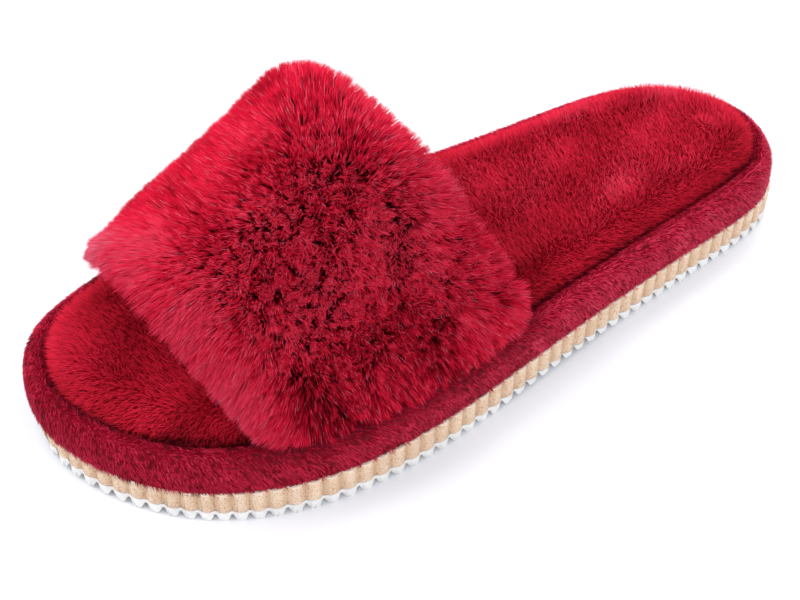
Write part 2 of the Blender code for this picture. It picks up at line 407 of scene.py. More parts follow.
# painted shade: this colour darkens the foam's grooves
PAINTED_GROOVE_SHADE = (0.82, 0.75, 0.68, 1)
# painted highlight: a paler tan lights the foam's top edge, between two heights
HIGHLIT_EDGE_TAN = (0.84, 0.71, 0.57, 1)
HIGHLIT_EDGE_FROM, HIGHLIT_EDGE_TO = 0.0106, 0.0116  # heights

foam, foam_shader = new_finish("tan_foam", roughness=0.78, gloss=0.25)
tan = ramped(foam, object_noise(foam, scale=160, detail=3), TAN_PATCHES)
grain = object_noise(foam, scale=2600, detail=2, rough=0.6)
specked = blended(foam, ramped(foam, grain, SPECK_MASK), tan, SPECK_BROWN)
groove = add_node(foam, "Attribute", attribute_name="groove").outputs["Fac"]
shaded = blended(foam, groove, specked, PAINTED_GROOVE_SHADE, "MULTIPLY")
place = add_node(foam, "TexCoord").outputs["Object"]
height = add_node(foam, "SeparateXYZ", [("Vector", place)]).outputs["Z"]
top_edge = [("Value", height), ("From Min", HIGHLIT_EDGE_FROM), ("From Max", HIGHLIT_EDGE_TO)]
highlit_edge = add_node(foam, "MapRange", top_edge).outputs["Result"]
edged = blended(foam, highlit_edge, shaded, HIGHLIT_EDGE_TAN)
join(foam, edged, foam_shader.inputs["Base Color"])
bumped(foam, foam_shader, grain, depth=0.00025)
midsole.data.materials.append(foam)
print("tan foam finished")

# %% White tread
WHITE_PATCHES = [(0.25, (0.67, 0.65, 0.61)), (0.65, (0.77, 0.76, 0.73))]

rubber, rubber_shader = new_finish("white_rubber", roughness=0.6, gloss=0.35)
smudges = object_noise(rubber, scale=90, detail=4, rough=0.6)
white = ramped(rubber, smudges, WHITE_PATCHES)
join(rubber, white, rubber_shader.inputs["Base Color"])
pores = object_noise(rubber, scale=1800, detail=2)
bumped(rubber, rubber_shader, pores, depth=0.00012)
outsole.data.materials.append(rubber)
print("white tread finished")

# %% [markdown]
# ## How pile is made
# Fur, plush and velour are the same thing at three lengths: strands that stand
# on a backing, lean with the nap and gather at their tips. Blender's hair
# would do, but it can't be handed on as a mesh. So each strand is a thin
# three-sided spike, open at its root, and all of a piece's strands are one
# joined mesh, filled from arrays.

# %% Read a surface
NO_LENGTH = 1e-12


def unit(vectors):
    """Vectors of length 1 in the same directions."""
    lengths = np.linalg.norm(vectors, axis=-1, keepdims=True)
    return vectors / np.maximum(lengths, NO_LENGTH)


def surface_of(piece):
    """Points, smooth normals and triangles of a piece, as arrays."""
    mesh = piece.data
    mesh.calc_loop_triangles()
    points = np.empty((len(mesh.vertices), 3), np.float32)
    normals = np.empty((len(mesh.vertices), 3), np.float32)
    corners = np.empty((len(mesh.loop_triangles), 3), np.int32)
    mesh.vertices.foreach_get("co", points.ravel())
    mesh.vertex_normals.foreach_get("vector", normals.ravel())
    mesh.loop_triangles.foreach_get("vertices", corners.ravel())
    return points.astype(float), normals, corners


def measured(piece):
    """A piece's width, length and height in millimetres."""
    return [round(size * 1000, 1) for size in np.ptp(surface_of(piece)[0], axis=0)]


print("surfaces can be read")


# %% Scatter roots on a surface
def combed(normals, corners, rounds):
    """Normals evened out with those of their neighbours, round after round."""
    for _ in range(rounds):
        around = normals.astype(float)
        for first, second in ((0, 1), (1, 2), (2, 0)):
            np.add.at(around, corners[:, first], normals[corners[:, second]])
            np.add.at(around, corners[:, second], normals[corners[:, first]])
        normals = unit(around)
    return normals


def scatter(piece, count, rng, density, combing=0):
    """Roots and normals spread over a piece; density weighs each triangle."""
    points, normals, corners = surface_of(piece)
    triangles = points[corners]
    sides = triangles[:, 1:] - triangles[:, :1]
    areas = np.linalg.norm(np.cross(sides[:, 0], sides[:, 1]), axis=1) / 2
    facing = unit(normals[corners].mean(axis=1))
    reach = np.cumsum(areas * density(triangles.mean(axis=1), facing))
    normals = combed(normals, corners, combing)
    draws = (np.arange(count) + rng.random(count)) / count * reach[-1]
    pick = np.minimum(np.searchsorted(reach, draws), len(reach) - 1)
    first, second = rng.random((2, count))
    over = first + second > 1
    first[over], second[over] = 1 - first[over], 1 - second[over]
    share = np.stack((1 - first - second, first, second), axis=1)[..., None]
    roots = (triangles[pick] * share).sum(axis=1)
    return roots, unit((normals[corners[pick]] * share).sum(axis=1))


print("roots can be scattered")

# %% [markdown]
# Neighbouring strands lean alike, so the lean is a soft noise made of a few
# waves. Tips also gather into small locks: each strand finds its nearest lock
# and bends its tip part of the way there. Pile gets painted shade where another
# piece stands close to it, so a last helper measures that.

# %% Nap and locks
WAVES = 9
WAVE_SPREAD = (0.7, 1.5)


def drift(points, wavelength, rng):
    """Soft vector noise of about unit size: seeded waves summed up."""
    total = np.zeros_like(points)
    for _ in range(WAVES):
        heading = unit(rng.normal(size=3)) * 2 * math.pi
        step = heading / (wavelength * rng.uniform(*WAVE_SPREAD))
        swing = rng.normal(size=3)
        phase = rng.uniform(0, 2 * math.pi)
        total += swing * np.sin(points @ step + phase)[:, None]
    return total / math.sqrt(WAVES / 2)


def nearest(places, points):
    """For every place, the number of the point nearest to it."""
    tree = KDTree(len(points))
    for index, point in enumerate(points):
        tree.insert(point, index)
    tree.balance()
    return np.array([tree.find(place)[1] for place in places])


def in_locks(roots, per_lock, rng):
    """For every strand, the number of the strand that leads its lock."""
    leaders = rng.choice(len(roots), len(roots) // per_lock, replace=False)
    return leaders[nearest(roots, roots[leaders])]


def gathered(roots, along, lock, pull):
    """Strands with their tips drawn towards the tip of their lock's leader."""
    return along + (roots[lock] + along[lock] - roots - along) * pull


def shelter(roots, node, reach):
    """How close every root is to a solid: 1 at its points, 0 from reach on."""
    points = surface_of(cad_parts[node])[0]
    away = np.linalg.norm(points[nearest(roots, points)] - roots, axis=1)
    return rising(away, reach, 0)


print("nap ready")

# %% [markdown]
# A spike has three points round its root and one at its tip. Lit by its own
# sharp sides it would glitter, so its shading normals are blended with the
# normal of the backing, as a soft pile reflects light like the surface under
# it. Each spike lies on a small map of colours, across by its own tint and
# along from root to tip, where a grey ramp darkens the roots with painted shade.

# %% Build the strands
SPIKE_SIDES = 3
SPIKE_FACES = np.array([(0, 1, 3), (1, 2, 3), (2, 0, 3)])
MAP_HALF_WIDTH = 0.004


def spikes(roots, along, turned, normals, soften, width):
    """Points and shading normals of the spikes, four of each to a spike."""
    axis = unit(along)
    side = unit(np.cross(axis, turned))
    other = np.cross(axis, side)
    points = np.empty((len(roots), SPIKE_SIDES + 1, 3))
    shading = np.empty_like(points)
    soft = soften[:, None]
    for corner in range(SPIKE_SIDES):
        turn = 2 * math.pi * corner / SPIKE_SIDES
        radial = side * math.cos(turn) + other * math.sin(turn)
        points[:, corner] = roots + radial * width[:, None] / 2
        shading[:, corner] = unit(radial * (1 - soft) + normals * soft)
    points[:, -1] = roots + along
    shading[:, -1] = unit(axis * (1 - soft) + normals * soft)
    return points, shading


def spike_mesh(name, points, shading):
    """One mesh of all the spikes, with their shading normals."""
    count = len(points)
    starts = np.arange(count)[:, None, None] * (SPIKE_SIDES + 1)
    corners = (starts + SPIKE_FACES).ravel()
    mesh = bpy.data.meshes.new(name)
    mesh.vertices.add((SPIKE_SIDES + 1) * count)
    mesh.vertices.foreach_set("co", points.ravel().astype(np.float32))
    mesh.loops.add(len(corners))
    mesh.loops.foreach_set("vertex_index", corners.astype(np.int32))
    mesh.polygons.add(SPIKE_SIDES * count)
    first_loops = np.arange(0, len(corners), 3, dtype=np.int32)
    mesh.polygons.foreach_set("loop_start", first_loops)
    mesh.update(calc_edges=True)
    mesh.shade_smooth()
    mesh.normals_split_custom_set_from_vertices(shading.reshape(-1, 3))
    return mesh


def map_colours(mesh, tint, start):
    """Lays every spike on the map of colours, from its start to its tip; a later
    start gives its root less painted shade.
    """
    spot = np.tile(tint[:, None, None, None], (1, SPIKE_SIDES, 3, 2))
    spot[:, :, 0, 0] -= MAP_HALF_WIDTH
    spot[:, :, 1, 0] += MAP_HALF_WIDTH
    spot[:, :, :2, 1] = start[:, None, None]
    spot[:, :, 2, 1] = 1
    layer = mesh.uv_layers.new(name="OFBake")
    layer.uv.foreach_set("vector", spot.ravel().astype(np.float32))


print("strands can be built")

# %% Grow a pile
SHEEN_ROUGHNESS = 0.4


def pile_finish(name, tints, root_shade, roughness, gloss, sheen, sheen_tint):
    """Colour by strand across the map, darkened by painted shade from root to tip.
    """
    finish, shader = new_finish(name, roughness, gloss)
    shader.inputs["Sheen Weight"].default_value = sheen
    shader.inputs["Sheen Roughness"].default_value = SHEEN_ROUGHNESS
    shader.inputs["Sheen Tint"].default_value = (*sheen_tint, 1)
    spot = add_node(finish, "UVMap", uv_map="OFBake")
    axes = add_node(finish, "SeparateXYZ", [("Vector", spot.outputs["UV"])])
    hue = ramped(finish, axes.outputs["X"], tints)
    shade = ramped(finish, axes.outputs["Y"], root_shade)
    tone = blended(finish, 1.0, hue, shade, "MULTIPLY")
    join(finish, tone, shader.inputs["Base Color"])
    return finish


def grow_pile(names, finish, axis, strands):
    """Splits strands along an axis into pieces of equal number and adds them."""
    order = np.argsort(strands["roots"][:, axis])
    for name, part in zip(names, np.array_split(order, len(names))):
        own = {key: values[part] for key, values in strands.items()}
        tint, start = own.pop("tint"), own.pop("start")
        mesh = spike_mesh(name, *spikes(**own))
        map_colours(mesh, tint, start)
        mesh.materials.append(finish)
        piece = bpy.data.objects.new(name, mesh)
        scene.collection.objects.link(piece)
        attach(piece, "root")
        print(name, len(part), "strands,", len(mesh.polygons), "triangles")


print("pile can be grown")

# %% [markdown]
# ## The rim
# The rim is a foam cord wrapped in short velour. Its base is a smooth copy of
# the solid in the dark red of the backing, with its lower edge drawn out a
# little over the foam. The velour is about 2 mm long and brushed flat, down
# and along the edge, so that it shows as fine slanted strokes with dark slits
# between them, and its lowest strands hang over the foam's top edge. The slits,
# the roots and the velour close to the strap and to the footbed are darkened
# with painted shade.

# %% Rim base
RIM_SKIRT = 0.0008
SKIRT_HEIGHT = 0.0025
LENGTH_WEIGHT = 0.35  # outwards means away from the slipper's middle line

rand = working_copy("rand", "rim")
rim_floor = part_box("rand")[0][2]
for vertex in rand.data.vertices:
    outward = Vector((vertex.normal.x, vertex.normal.y, 0))
    reach = Vector((vertex.co.x, vertex.co.y * LENGTH_WEIGHT, 0))
    if vertex.co.z < rim_floor + SKIRT_HEIGHT and outward.dot(reach) > 0:
        share = 1 - (vertex.co.z - rim_floor) / SKIRT_HEIGHT
        vertex.co += outward.normalized() * RIM_SKIRT * share
bpy.ops.object.shade_smooth()
stands_for(rand, "rand")
print("rim base", len(rand.data.polygons), "faces")

# %% Backing under a pile
RIM_RED = (0.14, 0.002, 0.008), (0.23, 0.004, 0.015)


def backing_finish(name, dark, light):
    """Knitted backing under a pile: matte, mottled and a little rough."""
    finish, shader = new_finish(name, roughness=0.9, gloss=0.0)
    mottle = object_noise(finish, scale=700, detail=3)
    tone = ramped(finish, mottle, [(0.3, dark), (0.7, light)])
    join(finish, tone, shader.inputs["Base Color"])
    knit = object_noise(finish, scale=1500, detail=2)
    bumped(finish, shader, knit, depth=0.0005)
    return finish


rand.data.materials.append(backing_finish("rim_backing", *RIM_RED))
print("rim backing finished")

# %% Velour roots and direction
RAND_STRANDS = 62500
UNDERSIDE, TOPSIDE = -0.75, 0.6  # upward part of a normal
INNER_SHARE = 0.15  # the rim's inner side is hidden
VELOUR_LENGTH = 0.0020
VELOUR_SPREAD = (0.75, 1.25)
LOW_FROM, LOW_TO = 0.0160, 0.0120  # heights between which velour starts to hang
VELOUR_SWEEP, VELOUR_FALL, LOW_FALL = 0.45, 0.60, 0.3
VELOUR_PATCH, VELOUR_SWAY = 0.014, 0.09
VELOUR_STAND, LOW_STAND = 0.45, 0.12
VELOUR_STRAY = 0.09
LOW_STRETCH = 0.1
DOWN = np.array((0, 0, -1))
NUDGE = 1e-6  # gives upright normals an edge direction too
rng = np.random.default_rng(11)


def outer_rim(middles, facing):
    """Pile on the outer side and top of the rim, little inside, none below."""
    outwards = (facing * middles * (1, LENGTH_WEIGHT, 0)).sum(axis=1) > 0
    shown = outwards | (facing[:, 2] > TOPSIDE)
    share = np.where(shown, 1.0, INNER_SHARE)
    return np.where(facing[:, 2] < UNDERSIDE, 0.0, share)


roots, normals = scatter(rand, RAND_STRANDS, rng, outer_rim)
level_out = normals * (1, 1, 0)
along_edge = unit(np.cross((0, 0, 1), level_out + (0, 0, NUDGE)))
low = rising(roots[:, 2:], LOW_FROM, LOW_TO)
lie = along_edge * VELOUR_SWEEP + DOWN * (VELOUR_FALL + LOW_FALL * low)
lie += drift(roots, VELOUR_PATCH, rng) * VELOUR_SWAY
stand = unit(level_out * low + normals * (1 - low))
lie -= stand * (lie * stand).sum(axis=1, keepdims=True)
stray = rng.normal(size=roots.shape) * VELOUR_STRAY
aim = unit(stand * (VELOUR_STAND + LOW_STAND * low) + unit(lie) + stray)
along = aim * VELOUR_LENGTH * rng.uniform(*VELOUR_SPREAD, (RAND_STRANDS, 1))
along *= 1 + LOW_STRETCH * low
print("velour up to", round(VELOUR_LENGTH * VELOUR_SPREAD[1] * 1000, 2), "mm")

# %% Velour colour and growth
VELOUR_TONE = 0.55
TONE_PATCH, TONE_SWAY, TONE_STRAY = 0.010, 0.06, 0.19
VELOUR_LOCK = 6
# painted shade: a share of the locks is darkened into dark slits
SLIT_SHARE, SLIT_SHADE = 0.09, 0.45  # some locks are dark slits
TOE_FROM, TOE_TO, TOE_DARKER = -0.05, -0.09, 0.15
# painted shade: velour close to the strap and to the footbed is darkened
STRAP_REACH, STRAP_SHADE = 0.0105, 0.75
CREASE_REACH, CREASE_SHADE = 0.007, 0.24
ROOT_DEPTH = 0.0003
VELOUR_WIDTHS = (0.00024, 0.00037)
VELOUR_SOFT, VELOUR_PULL = 0.42, 0.15
LEAST_TINT, MOST_TINT = 0.01, 0.99
VELOUR_TINTS = [
    (0.0, (0.12, 0.002, 0.008)), (0.40, (0.62, 0.010, 0.044)),
    (0.80, (0.86, 0.034, 0.100)), (1.0, (0.90, 0.12, 0.20)),
]
# painted shade down in the pile: a grey ramp from root to tip
VELOUR_ROOT_SHADE = [(0, 0.12), (0.6, 0.92), (1, 1.0)]

tint = VELOUR_TONE + TONE_SWAY * drift(roots, TONE_PATCH, rng)[:, 0]
tint += TONE_STRAY * rng.normal(size=RAND_STRANDS)
lock = in_locks(roots, VELOUR_LOCK, rng)
tint -= SLIT_SHADE * (rng.random(RAND_STRANDS)[lock] < SLIT_SHARE)
tint -= TOE_DARKER * rising(roots[:, 1], TOE_FROM, TOE_TO)
tint -= STRAP_SHADE * shelter(roots, "upper", STRAP_REACH)
tint -= CREASE_SHADE * shelter(roots, "footbed", CREASE_REACH)
velour_strands = {
    "roots": roots - normals * ROOT_DEPTH,
    "along": gathered(roots, along, lock, VELOUR_PULL),
    "turned": rng.normal(size=roots.shape),
    "normals": normals,
    "soften": np.full(RAND_STRANDS, VELOUR_SOFT),
    "width": rng.uniform(*VELOUR_WIDTHS, RAND_STRANDS),
    "tint": np.clip(tint, LEAST_TINT, MOST_TINT),
    "start": np.zeros(RAND_STRANDS),
}
velour = pile_finish(
    "rim_velour", VELOUR_TINTS, VELOUR_ROOT_SHADE,
    roughness=0.5, gloss=0.1, sheen=0.05, sheen_tint=(1.0, 0.20, 0.40),
)
grow_pile(["rim_velour"], velour, 1, velour_strands)

# %% [markdown]
# ## The footbed
# The footbed is a foam pad in a plush cover. The pad is made as a cushion is:
# a slightly smaller copy is remeshed, lifted along its edge so that the edge
# stands steep, blown up a little as cloth, with its underside held flat, and
# smoothed by one subdivision.

# %% Footbed pad
PAD_VOXEL = 0.0045
PAD_SINK = 0.0018
PAD_RISE = 1.12
EDGE_LIFT = 0.0025
EDGE_REACH = 0.0034
STEEP = 0.3  # most upward part of a wall's normal

pad = working_copy("footbed", "footbed_pad")
bed_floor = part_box("footbed")[0][2]
bpy.ops.object.mode_set(mode="EDIT")
bpy.ops.mesh.select_all(action="SELECT")
bpy.ops.transform.shrink_fatten(value=-PAD_SINK)
bpy.ops.transform.resize(value=(1, 1, PAD_RISE), center_override=(0, 0, bed_floor))
bpy.ops.object.mode_set(mode="OBJECT")
pad.data.remesh_voxel_size = PAD_VOXEL
bpy.ops.object.voxel_remesh()
points, normals, _ = surface_of(pad)
plan = points * (1, 1, 0)
walls = plan[np.abs(normals[:, 2]) < STEEP]
inwards = np.linalg.norm(walls[nearest(plan, walls)] - plan, axis=1) / EDGE_REACH
points[:, 2] += EDGE_LIFT * inwards * np.exp(1 - inwards) * (normals[:, 2] > 0)
pad.data.vertices.foreach_set("co", points.ravel().astype(np.float32))
pad.data.update()
print("pad", len(pad.data.vertices), "points")

# %% Swell the pad
PAD_PRESSURE = 4
PAD_FRAMES = 20
PAD_SWELL = 0.0010
HELD_HEIGHT = 0.003
NO_MOVE = 1e-9
PAD_RED = (0.34, 0.003, 0.010), (0.50, 0.006, 0.020)


def swell(piece, held_below, most):
    """Blows a closed piece up as cloth, then limits how far points moved."""
    start = surface_of(piece)[0]
    held = np.nonzero(start[:, 2] < held_below)[0]
    piece.vertex_groups.new(name="held").add(held.tolist(), 1.0, "ADD")
    cloth = piece.modifiers.new("swell", "CLOTH")
    cloth.settings.use_pressure = True
    cloth.settings.uniform_pressure_force = PAD_PRESSURE
    cloth.settings.effector_weights.gravity = 0
    cloth.settings.vertex_group_mass = "held"
    cloth.collision_settings.use_collision = False
    for number in range(1, PAD_FRAMES + 1):
        scene.frame_set(number)
    bpy.context.view_layer.objects.active = piece
    bpy.ops.object.modifier_apply(modifier="swell")
    scene.frame_set(1)
    move = surface_of(piece)[0] - start
    size = np.linalg.norm(move, axis=1, keepdims=True)
    end = start + move * np.minimum(1, most / np.maximum(size, NO_MOVE))
    piece.data.vertices.foreach_set("co", end.ravel().astype(np.float32))
    piece.data.update()
    piece.vertex_groups.clear()
    moved = float(min(size.max(), most))
    print(piece.name, "swelled by up to", round(moved * 1000, 2), "mm")


swell(pad, bed_floor + PAD_SINK + HELD_HEIGHT, PAD_SWELL)
smooth = pad.modifiers.new("smooth", "SUBSURF")
smooth.levels = smooth.render_levels = 1
bpy.ops.object.modifier_apply(modifier="smooth")
bpy.ops.object.shade_smooth()
stands_for(pad, "footbed")
pad.data.materials.append(backing_finish("pad_backing", *PAD_RED))
print("pad", measured(pad), "mm")

# %% [markdown]
# The plush on it is longer than the rim's velour, about 4.4 mm, and brushed in
# broad patches, mostly towards the toe and outwards, so it reads as soft
# strokes. Two small partings near the toe follow the photograph, darkened with
# painted shade. At the edge the pile stands up, so that a dark crease is left
# beside the rim, and the edge's strands also get painted shade. The low parts
# of the bed and the bed under the strap get painted shade, and the heel gets
# painted light.

# %% Plush roots and direction
BED_STRANDS = 80500
PLUSH_FACING, PLUSH_FLOOR = -0.2, 0.0175
COVERED_FROM, COVERED_TO, COVERED_SHARE = -0.060, -0.030, 0.35  # by the strap
PLUSH_LENGTH = 0.0044
PLUSH_SPREAD = (0.75, 1.2)
PLUSH_LIE = np.array((0.35, -0.75, 0.0))
BROAD_PATCH, BROAD_SWAY = 0.070, 0.06
SMALL_PATCH, SMALL_SWAY = 0.016, 0.14
# the partings' darkening is painted shade
PARTINGS = [  # place, reach and darkening
    ((-0.014, -0.101), 0.008, 0.30), ((0.024, -0.097), 0.006, 0.22),
]
PARTING_LEAN = 0.8
PLUSH_LEAN, PLUSH_STRAY = 0.6, 0.18
WALL_LESS = 0.35
WALL_UP = np.array((0, 0, 0.6))
rng = np.random.default_rng(23)


def open_bed(middles, facing):
    """Full pile where the bed can be seen, sparse pile under the strap."""
    seen = (facing[:, 2] > PLUSH_FACING) & (middles[:, 2] > PLUSH_FLOOR)
    covered = (middles[:, 1] > COVERED_FROM) & (middles[:, 1] < COVERED_TO)
    return np.where(seen, np.where(covered, COVERED_SHARE, 1.0), 0.0)


roots, normals = scatter(pad, BED_STRANDS, rng, open_bed)
lie = PLUSH_LIE + drift(roots, BROAD_PATCH, rng) * BROAD_SWAY
lie += drift(roots, SMALL_PATCH, rng) * SMALL_SWAY
parting_shade = np.zeros(BED_STRANDS)
for place, reach, darkening in PARTINGS:
    offset = (roots[:, :2] - place) / reach
    close = np.exp(-(offset ** 2).sum(axis=1))
    lie[:, :2] += PARTING_LEAN * offset * close[:, None]
    parting_shade += darkening * close
lie -= normals * (lie * normals).sum(axis=1, keepdims=True)
wall = rising(normals[:, 2:], 1, 0)
aim = normals * (1 - WALL_LESS * wall) + WALL_UP * wall
aim += unit(lie) * PLUSH_LEAN * (1 - wall)
aim = unit(aim + rng.normal(size=roots.shape) * PLUSH_STRAY)
along = aim * PLUSH_LENGTH * rng.uniform(*PLUSH_SPREAD, (BED_STRANDS, 1))
print("plush up to", round(PLUSH_LENGTH * PLUSH_SPREAD[1] * 1000, 2), "mm")

# %% Plush colour and growth
# painted shade: the low parts of the bed and the bed under the strap are darkened
DEEP_FROM, DEEP_TO, DEEP_SHADE = 0.0240, 0.0200, 0.4  # heights
UNDER_REACH, UNDER_STRAP_SHADE = 0.030, 0.6
PLUSH_TONE = 0.5
PLUSH_PATCH, PLUSH_SWAY, PLUSH_TONE_STRAY = 0.022, 0.08, 0.13
# painted light: the bed is made lighter towards the heel
HEEL_FROM, HEEL_TO, HEEL_PAINTED_LIGHT = 0.02, 0.06, 0.10
# painted shade: the bed's edge strands are darkened
WALL_SHADE = 0.16
PLUSH_LOCK, PLUSH_PULL = 7, 0.25
LIT_FROM_ABOVE = (0, 0, 1.8)
PLUSH_SOFT = 0.56
PLUSH_WIDTHS = (0.00030, 0.00046)
PLUSH_TINTS = [
    (0.0, (0.12, 0.001, 0.004)), (0.30, (0.61, 0.007, 0.026)),
    (0.75, (0.85, 0.017, 0.060)), (1.0, (0.85, 0.07, 0.12)),
]
# painted shade down in the pile: a grey ramp from root to tip
PLUSH_ROOT_SHADE = [(0, 0.40), (0.6, 0.94), (1, 1.0)]

deep = rising(roots[:, 2], DEEP_FROM, DEEP_TO)
deep += UNDER_STRAP_SHADE * shelter(roots, "upper", UNDER_REACH)
tint = PLUSH_TONE + PLUSH_SWAY * drift(roots, PLUSH_PATCH, rng)[:, 0]
tint += PLUSH_TONE_STRAY * rng.normal(size=BED_STRANDS)
tint -= DEEP_SHADE * deep + parting_shade
tint += HEEL_PAINTED_LIGHT * rising(roots[:, 1], HEEL_FROM, HEEL_TO)
tint -= WALL_SHADE * wall[:, 0]
plush_strands = {
    "roots": roots,
    "along": gathered(roots, along, in_locks(roots, PLUSH_LOCK, rng), PLUSH_PULL),
    "turned": rng.normal(size=roots.shape),
    "normals": unit(normals + LIT_FROM_ABOVE),
    "soften": np.full(BED_STRANDS, PLUSH_SOFT),
    "width": rng.uniform(*PLUSH_WIDTHS, BED_STRANDS),
    "tint": np.clip(tint, LEAST_TINT, MOST_TINT),
    "start": np.zeros(BED_STRANDS),
}
plush = pile_finish(
    "footbed_plush", PLUSH_TINTS, PLUSH_ROOT_SHADE,
    roughness=0.6, gloss=0.08, sheen=0.05, sheen_tint=(1.0, 0.20, 0.32),
)
grow_pile(["plush_toe", "plush_heel"], plush, 1, plush_strands)

# %% [markdown]
# ## The strap
# The strap is a padded band, furred outside and lined inside. Its solid carries
# raised points in place of fur locks, so the copy's outer side is drawn in by a
# Shrinkwrap, to a smooth form at an even distance from the lining, where the
# fur is rooted. The lining keeps its place.

# %% Tell the outside from the lining
HEART_HEIGHT = 0.030  # about the middle of the foot's way through
OUTER_LEAST = -0.35
OUTER_FLOOR = 0.0255
strap_low, strap_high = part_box("upper")


def outwardness(places, facing):
    """How far a place on the strap faces away from the foot, from -1 to 1."""
    heart = places.copy()
    heart[:, 0] = (strap_low[0] + strap_high[0]) / 2
    heart[:, 2] = HEART_HEIGHT
    return (unit(places - heart) * facing).sum(axis=1)


core = working_copy("upper", "strap_core")
points, normals, _ = surface_of(core)
outer = (outwardness(points, normals) > OUTER_LEAST) & (points[:, 2] > OUTER_FLOOR)
print("strap", len(points), "points,", int(outer.sum()), "outside")

# %% Draw the outer side in over the lining
CORE_THICKNESS = 0.0045
bpy.ops.object.duplicate()
lining = bpy.context.object
lining.data.vertices.foreach_set("select", outer)
bpy.ops.object.mode_set(mode="EDIT")
bpy.ops.mesh.select_mode(type="VERT")
bpy.ops.mesh.delete(type="VERT")
bpy.ops.object.mode_set(mode="OBJECT")

bpy.ops.object.select_all(action="DESELECT")
core.select_set(True)
bpy.context.view_layer.objects.active = core
furred_points = np.nonzero(outer)[0].tolist()
core.vertex_groups.new(name="furred").add(furred_points, 1.0, "ADD")
wrap = core.modifiers.new("wrap", "SHRINKWRAP")
wrap.target = lining
wrap.wrap_method = "NEAREST_SURFACEPOINT"
wrap.wrap_mode = "ON_SURFACE"
wrap.offset = CORE_THICKNESS
wrap.vertex_group = "furred"
bpy.ops.object.modifier_apply(modifier="wrap")
core.vertex_groups.clear()
bpy.data.objects.remove(lining)
bpy.ops.object.shade_smooth()
stands_for(core, "upper")
print("strap core", measured(core), "mm")

# %% Strap backing and lining
# near-black backing: the strap's red, partly painted shade for the gaps in the fur
# and the crease below it
SHADED_ROOT_RED = (0.055, 0.002, 0.006), (0.12, 0.004, 0.014)
LINING_RED = (0.26, 0.003, 0.012), (0.42, 0.007, 0.024)

core.data.materials.append(backing_finish("strap_backing", *SHADED_ROOT_RED))
core.data.materials.append(backing_finish("strap_lining", *LINING_RED))
for polygon in core.data.polygons:
    polygon.material_index = int(not outer[list(polygon.vertices)].all())
print("strap backed and lined")

# %% [markdown]
# The fur is about 9 mm deep. It gathers in locks of about 32 strands and, in
# them, in wisps of 3, and each lock, wisp and strand adds its share to how
# long, how pale and how tilted a strand is. On top of the strap it stands
# almost straight up. On the outer side, which is nearer to the photograph's
# eye, the nap is raised outwards, and at the front and back edges it follows
# the rolled edge and spills over.

# %% Fur roots and locks
FUR_ROOTS = 168000
FUR_FLOOR = 0.0278
SEEDED_LEAST, KEPT_LEAST = -0.4, 0.05  # outwardness of a triangle, of a root
FUR_COMBING = 6
LOCK_STRANDS, WISP_STRANDS = 32, 3
RANK_SHARES = (0.25, 0.45, 0.30)  # of the lock, the wisp and the strand
TILT_SHARES = (0.12, 0.11, 0.06)
rng = np.random.default_rng(37)


def furred_side(places, facing, least=SEEDED_LEAST):
    """Fur on the outside and on both rolled edges, none on the lining."""
    return (outwardness(places, facing) > least) & (places[:, 2] > FUR_FLOOR)


def shared(shares, own, fresh):
    """A value of the lock's leader, the wisp's leader and the strand, added."""
    return shares[0] * own[lock] + shares[1] * own[wisp] + shares[2] * fresh


roots, normals = scatter(core, FUR_ROOTS, rng, furred_side, combing=FUR_COMBING)
kept = furred_side(roots, normals, KEPT_LEAST)
roots, normals = roots[kept], normals[kept]
count = len(roots)
lock = in_locks(roots, LOCK_STRANDS, rng)
wisp = in_locks(roots, WISP_STRANDS, rng)
own_rank, own_tilt = rng.random(count), rng.normal(size=roots.shape)
rank = shared(RANK_SHARES, own_rank, rng.random(count))
tilt = shared(TILT_SHARES, own_tilt, rng.normal(size=roots.shape))
print("fur", count, "roots in", len(np.unique(lock)), "locks")

# %% Zones of the strap
FOOT_FROM, FOOT_TO = 0.028, 0.038  # heights: the foot of the fur is at 0
EDGE_FROM, EDGE_TO = 0.10, 0.70  # part of a normal along the slipper
BACK_EDGE = 0.6
NEAR_FROM, NEAR_TO = 0.004, 0.022  # places across: the outer side is near
FAR_FROM, FAR_TO = 0.015, -0.015
FRONT_DEPTH = 0.020

foot = rising(roots[:, 2], FOOT_FROM, FOOT_TO)
edge = rising(np.abs(normals[:, 1]), EDGE_FROM, EDGE_TO)
edge *= edge * (3 - 2 * edge) * np.where(normals[:, 1] > 0, BACK_EDGE, 1.0)
near = rising(roots[:, 0], NEAR_FROM, NEAR_TO)
far = rising(roots[:, 0], FAR_FROM, FAR_TO)
# the far side's rolled edges, which get a painted highlight
highlit_far_edge = edge ** 3 * far
strap_middle = (strap_low[1] + strap_high[1]) / 2
front = rising(roots[:, 1], strap_middle, strap_middle - FRONT_DEPTH)
feet, edges, nears = foot[:, None], edge[:, None], near[:, None]
for zone, shares in (("edge", edge), ("near", near), ("far", far)):
    print(zone, round(float(shares.mean()), 2), "of the fur")

# %% Fur direction
FUR_LAY = (0.04, -0.06, 0.0)
FAR_LAY = np.array((-0.16, 0.10, 0.0))
EDGE_ROLL = 0.25
SAG, FOOT_LIFT, EDGE_SAG = -0.50, 0.42, -0.25
EDGE_CALM, FOOT_CALM = 0.5, 0.5
RAISED_SHARE = 0.6
RAISED_AIM = np.array((0.62, -0.36, 0.70))
FUR_PATCH, FUR_SWAY = 0.022, 0.08

